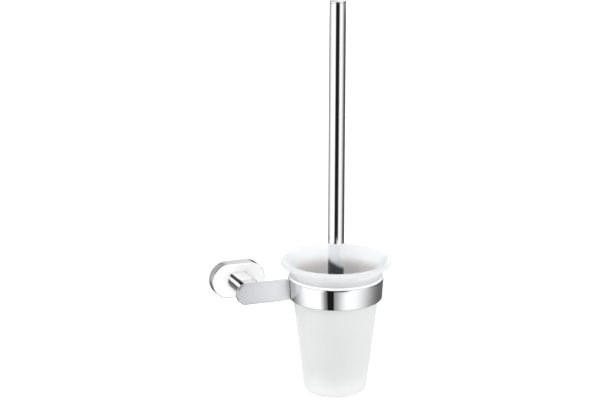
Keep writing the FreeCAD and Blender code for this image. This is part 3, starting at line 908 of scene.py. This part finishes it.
def makeThreadTree():
    # a rod whose side follows a screw thread, standing on its axis from z = 0 upwards
    tree, graph, size = startTree("threaded_rod", {
        "radius": "Float", "pitch": "Float", "length": "Float", "depth": "Float", "sides": "Int"})
    segments = graph.maths("CEIL", size["length"] / size["pitch"] * ringsPerTurn)
    rod = graph.add("GeometryNodeMeshCylinder", None, {
        "Vertices": size["sides"], "Side Segments": segments,
        "Radius": size["radius"], "Depth": size["length"]})
    middle = joinAxes(graph, 0.0, 0.0, size["length"] / 2.0)
    rod = graph.add("GeometryNodeTransform", None, {"Geometry": rod, "Translation": middle})
    x, y, z = splitAxes(graph, graph.add("GeometryNodeInputPosition"))
    turn = graph.maths("ARCTAN2", y, x) / math.tau
    phase = graph.maths("FRACT", z / size["pitch"] - turn)
    crest = graph.maths("ABSOLUTE", phase * 2.0 - 1.0)
    nearEnd = graph.maths("MINIMUM", z, size["length"] - z) / size["pitch"]
    full = graph.maths("MINIMUM", nearEnd, 1.0)
    # the thread is full from one pitch inside each end, and fades to its root at the end itself
    shrink = 1.0 - (1.0 - crest * full) * (size["depth"] / size["radius"])
    moved = joinAxes(graph, x * shrink, y * shrink, z)
    rod = graph.add("GeometryNodeSetPosition", None, {"Geometry": rod, "Position": moved})
    rod = graph.add("GeometryNodeSetShadeSmooth", None, {"Geometry": rod, "Shade Smooth": False})
    finishTree(graph, rod, size["finish"])
    return tree


smallThread = {"radius": 2.0 * mm, "pitch": 0.7 * mm, "depth": 0.35 * mm, "sides": 24}
largeThread = {"radius": 4.0 * mm, "pitch": 1.25 * mm, "depth": 0.6 * mm, "sides": 32}
fastener = {"headRadius": 3.9, "headHeight": 2.6, "headEdge": 0.6, "seatEdge": 0.2, "shankIntoHead": 0.3,
            "socketAcross": 2.5, "socketDepth": 1.5, "nutAcross": 7.0, "nutEdge": 0.45, "nutEdgeRise": 0.27,
            "cornerSpare": 0.02, "washerOuter": 4.5, "washerInner": 2.15, "washerInnerEdge": 0.1,
            "washerOuterEdge": 0.15, "grubSocketAcross": 2.0, "grubSocketDepth": 2.5}


def threadedRod(name, tree, thread, length, place):
    rod = growFromTree(name, tree, {**thread, "length": length, "finish": platedSteel})
    rod.data.transform(place)
    return rod


def hexagonTool(across, depth, place):
    mesh = bmesh.new()
    radius = across / 2 / math.cos(math.pi / 6)
    bmesh.ops.create_cone(mesh, cap_ends=True, segments=6, radius1=radius, radius2=radius, depth=depth)
    bmesh.ops.transform(mesh, matrix=place, verts=mesh.verts)
    return makePiece("socket", mesh, platedSteel)


def makeNut(name, x, y, height, node):
    # a chamfered hexagon: what a turned blank and a hexagonal prism have in common, then bored
    tall = height / mm
    wide = fastener["nutAcross"] / 2 / math.cos(math.pi / 6) + fastener["cornerSpare"]
    edge, rise = fastener["nutEdge"], fastener["nutEdgeRise"]
    turned = lathe(roundedOutline([
        (0, 0, 0), (wide - edge, 0, 0), (wide, rise, 0),
        (wide, tall - rise, 0), (wide - edge, tall, 0), (0, tall, 0)]), alongY(x, y), turns=60)
    blank = makePiece(name, turned, platedSteel, sharpAngle=20)
    middle = alongY(x, y - height / 2)
    combine(blank, hexagonTool(fastener["nutAcross"] * mm, height * 2, middle), "INTERSECT")
    bore(blank, smallThread["radius"], height, middle)
    settle(blank, "holder", "steel", node)


def makeStuds(tree):
    for word in ("left", "right"):
        low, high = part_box(f"arm_stud_{word}")
        x = (low.x + high.x) / 2
        rod = threadedRod(f"stud_thread_{word}", tree, smallThread, high.y - low.y, alongY(x, high.y))
        settle(rod, "holder", "steel", f"arm_stud_{word}")
        low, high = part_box(f"stud_washer_{word}")
        thickness = (high.y - low.y) / mm
        inner, innerEdge = fastener["washerInner"], fastener["washerInnerEdge"]
        outer, outerEdge = fastener["washerOuter"], fastener["washerOuterEdge"]
        outline = roundedOutline([
            (inner, 0, innerEdge), (outer, 0, outerEdge),
            (outer, thickness, outerEdge), (inner, thickness, innerEdge)], steps=3)
        turned = lathe(outline, alongY(x, high.y), turns=48)
        washer = makePiece(f"flat_washer_{word}", turned, platedSteel)
        settle(washer, "holder", "steel", f"stud_washer_{word}")
        low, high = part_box(f"stud_nut_{word}")
        makeNut(f"hex_nut_{word}", x, high.y, high.y - low.y, f"stud_nut_{word}")


def makeRingScrews(tree):
    for word in ("outer", "inner"):
        low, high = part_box(f"ring_screw_{word}")
        x = (low.x + high.x) / 2
        tall = fastener["headHeight"]
        turned = lathe(roundedOutline([
            (0, 0, 0), (fastener["headRadius"], 0, fastener["headEdge"]),
            (fastener["headRadius"], tall, fastener["seatEdge"]), (0, tall, 0)]), alongY(x, high.y), turns=48)
        screw = makePiece(f"lug_screw_{word}", turned, platedSteel)
        depth = fastener["socketDepth"] * mm
        combine(screw, hexagonTool(fastener["socketAcross"] * mm, depth * 2, alongY(x, high.y)), "DIFFERENCE")
        start = high.y - (tall - fastener["shankIntoHead"]) * mm
        combine(screw, threadedRod("shank", tree, smallThread, start - low.y, alongY(x, start)), "UNION")
        settle(screw, "holder", "steel", f"ring_screw_{word}")


def makeGrubScrew(tree):
    low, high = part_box("grub_screw")
    middle = Matrix.Translation(((low.x + high.x) / 2, (low.y + high.y) / 2, low.z))
    grub = threadedRod("grub_screw_set", tree, smallThread, high.z - low.z, middle)
    across, depth = fastener["grubSocketAcross"] * mm, fastener["grubSocketDepth"] * mm
    combine(grub, hexagonTool(across, depth * 2, middle), "DIFFERENCE")
    settle(grub, "holder", "steel", "grub_screw")


def makeHeadStud(tree):
    low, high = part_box("head_stud")
    place = Matrix.Translation((axisX, axisY, low.z))
    rod = threadedRod("head_stud_thread", tree, largeThread, high.z - low.z, place)
    settle(rod, "brush_head", "steel", "head_stud")


makeRosette()
makeBracket()
makePost()
makeArm()
print("wall end, post and arm ready")
makeRing()
makeLiner()
makeCup()
print("ring, liner and cup ready")
makeHandle()
makeHead()
makeBristles()
print("brush ready")
threadTree = makeThreadTree()
makeStuds(threadTree)
makeRingScrews(threadTree)
makeGrubScrew(threadTree)
makeHeadStud(threadTree)
print("fasteners ready")


# Studio: pale floor, white room, soft suns, and a tall ring of light and dark panels for reflections only

camera = {"azimuth": -22.4, "elevation": 18.03, "distance": 2.479, "lens": 148.7, "sensor": 36, "reach": 100,
          "aimRight": -36.4 * mm, "aimUp": 85.9 * mm, "roll": 0.2}
studio = {"floorBelow": 0.34, "floorSize": 16.0, "floorTone": 0.12, "white": 1.05,
          "keySun": 0.9, "keyTurn": (28, -24, 0), "rightSun": 0.55, "leftSun": 0.25, "sideFall": 80,
          "sideBehind": 5.0, "sunSoftness": 25.0}
panel = {"radius": 0.75, "top": 1.3, "sides": 96, "gain": 1.13, "lift": 1 * mm, "floorUpTo": 2 * mm,
         "floorSoft": 1 * mm, "highFrom": -0.234, "highTo": -0.224, "topFrom": 0.2, "topTo": 0.23,
         "topLean": 0.11}
# tones between the panels, and the panels by degrees round from the camera's side
lowTone, highTone, topTone = 0.4, 0.3, 0.32
lowPanels = {
    "leftSoftbox": {"start": -70, "end": -40, "fadeIn": 75, "fadeOut": 22, "tone": 1.0},
    "rightSoftbox": {"start": 30, "end": 40, "fadeIn": 50, "fadeOut": 95, "tone": 1.0},
    "blackFlag": {"start": -19, "end": -5, "fadeIn": 1, "fadeOut": 1.5, "tone": 0.13},
    "darkRightBack": {"start": 175, "end": 181, "fadeIn": 15, "fadeOut": 1, "tone": 0.15},
    "darkLeftBack": {"start": -181, "end": -162, "fadeIn": 1, "fadeOut": 9, "tone": 0.15}}
highPanels = {
    "leftSoftbox": {"start": -75, "end": -32, "fadeIn": 100, "fadeOut": 14, "tone": 1.0},
    "rightSoftbox": {"start": 38, "end": 60, "fadeIn": 20, "fadeOut": 60, "tone": 0.98},
    "blackFlag": {"start": -18, "end": 18, "fadeIn": 5, "fadeOut": 5, "tone": 0.14}}
topPanels = {
    "rightBack": {"start": 165, "end": 181, "fadeIn": 20, "fadeOut": 1, "tone": 0.95},
    "leftBack": {"start": -181, "end": -175, "fadeIn": 1, "fadeOut": 45, "tone": 0.85},
    "leftStrip": {"start": -140, "end": -118, "fadeIn": 20, "fadeOut": 18, "tone": 0.66},
    "rightStrip": {"start": 116, "end": 120, "fadeIn": 16, "fadeOut": 15, "tone": 0.8}}


def makePanels(cameraSide):
    # cameraSide is the level direction towards the camera
    foot = cupLow.z - studio["floorBelow"] + panel["lift"]
    mesh = bmesh.new()
    rings = []
    for z in (foot, panel["top"]):
        turns = [math.tau * step / panel["sides"] for step in range(panel["sides"])]
        points = [(panel["radius"] * math.cos(turn), panel["radius"] * math.sin(turn)) for turn in turns]
        rings.append([mesh.verts.new((axisX + x, axisY + y, z)) for x, y in points])
    bridge(mesh, *rings)
    mesh.faces.new(rings[0])
    material, graph, where = newMaterial("light_panels")
    x, y, z = splitAxes(graph, where)
    x, y = x - axisX, y - axisY
    ahead = x * cameraSide.x + y * cameraSide.y
    aside = y * cameraSide.x - x * cameraSide.y
    turn = graph.maths("ARCTAN2", aside, ahead) * (180 / math.pi)
    low = layerTones(graph, turn, lowTone, lowPanels)
    high = layerTones(graph, turn, highTone, highPanels)
    top = layerTones(graph, turn, topTone, topPanels)
    isHigh = ramp(graph, z, panel["highFrom"], panel["highTo"])
    above = z - ahead * panel["topLean"]      # the upper panels start higher on the camera's side
    isTop = ramp(graph, above, panel["topFrom"], panel["topTo"])
    floorTop = foot + panel["floorUpTo"]
    isFloor = ramp(graph, z, floorTop + panel["floorSoft"], floorTop)
    tone = low + (high - low) * isHigh
    tone = tone + (top - tone) * isTop
    tone = tone + (studio["floorTone"] - tone) * isFloor
    glow = graph.add("ShaderNodeEmission", None, {"Color": tone, "Strength": panel["gain"]})
    graph.add("ShaderNodeOutputMaterial", None, {"Surface": glow})
    panels = makePiece("light_panels", mesh, material)
    panels.visible_camera = False
    panels.visible_diffuse = False
    panels.visible_transmission = False
    panels.visible_shadow = False


def makeFloor():
    half = studio["floorSize"] / 2
    level = cupLow.z - studio["floorBelow"]
    mesh = bmesh.new()
    square = ((-half, -half), (half, -half), (half, half), (-half, half))
    mesh.faces.new([mesh.verts.new((x, y, level)) for x, y in square])
    material, graph, where = newMaterial("pale_floor")
    cloud = noise(graph, where, 2.0)
    finishMaterial(graph, {
        "Base Color": blendColour(graph, cloud, (0.90, 0.90, 0.90), (0.93, 0.93, 0.93)), "Roughness": 0.9})
    makePiece("floor", mesh, material)


def makeLight():
    world = bpy.data.worlds.new("white_room")
    scene.world = world
    world.use_nodes = True
    graph = Graph(world.node_tree)
    glow = graph.add("ShaderNodeBackground", None, {"Color": (1, 1, 1, 1), "Strength": studio["white"]})
    graph.add("ShaderNodeOutputWorld", None, {"Surface": glow})
    side = camera["azimuth"] + 90
    fall, behind = studio["sideFall"], studio["sideBehind"]
    lamps = {"soft_key": (studio["keySun"], studio["keyTurn"]),
             "right_side": (studio["rightSun"], (fall, 0, side + behind)),
             "left_side": (studio["leftSun"], (fall, 0, side - 180 - behind))}
    for name, (energy, turn) in lamps.items():
        lamp = bpy.data.lights.new(name, "SUN")
        lamp.energy = energy
        lamp.angle = math.radians(studio["sunSoftness"])
        light = bpy.data.objects.new(name, lamp)
        light.rotation_euler = [math.radians(angle) for angle in turn]
        light.visible_glossy = False
        scene.collection.objects.link(light)


def makeCamera():
    azimuth, elevation = math.radians(camera["azimuth"]), math.radians(camera["elevation"])
    level = Vector((math.sin(azimuth), -math.cos(azimuth), 0))
    back = level * math.cos(elevation) + Vector((0, 0, math.sin(elevation)))
    right = Vector((math.cos(azimuth), math.sin(azimuth), 0))
    up = back.cross(right)
    ringMiddle = Vector((axisX, axisY, 0))
    eye = ringMiddle + back * camera["distance"]
    aim = ringMiddle + right * camera["aimRight"] + up * camera["aimUp"]
    data = bpy.data.cameras.new("camera")
    data.lens = camera["lens"]
    data.sensor_width = camera["sensor"]
    data.clip_end = camera["reach"]
    made = bpy.data.objects.new("camera", data)
    turn = (aim - eye).to_track_quat("-Z", "Y").to_matrix().to_4x4()
    made.matrix_world = Matrix.Translation(eye) @ turn @ Matrix.Rotation(math.radians(camera["roll"]), 4, "Z")
    scene.collection.objects.link(made)
    scene.camera = made
    return level


scene.view_settings.view_transform = "Standard"
makePanels(makeCamera())
makeFloor()
makeLight()
print("studio ready")
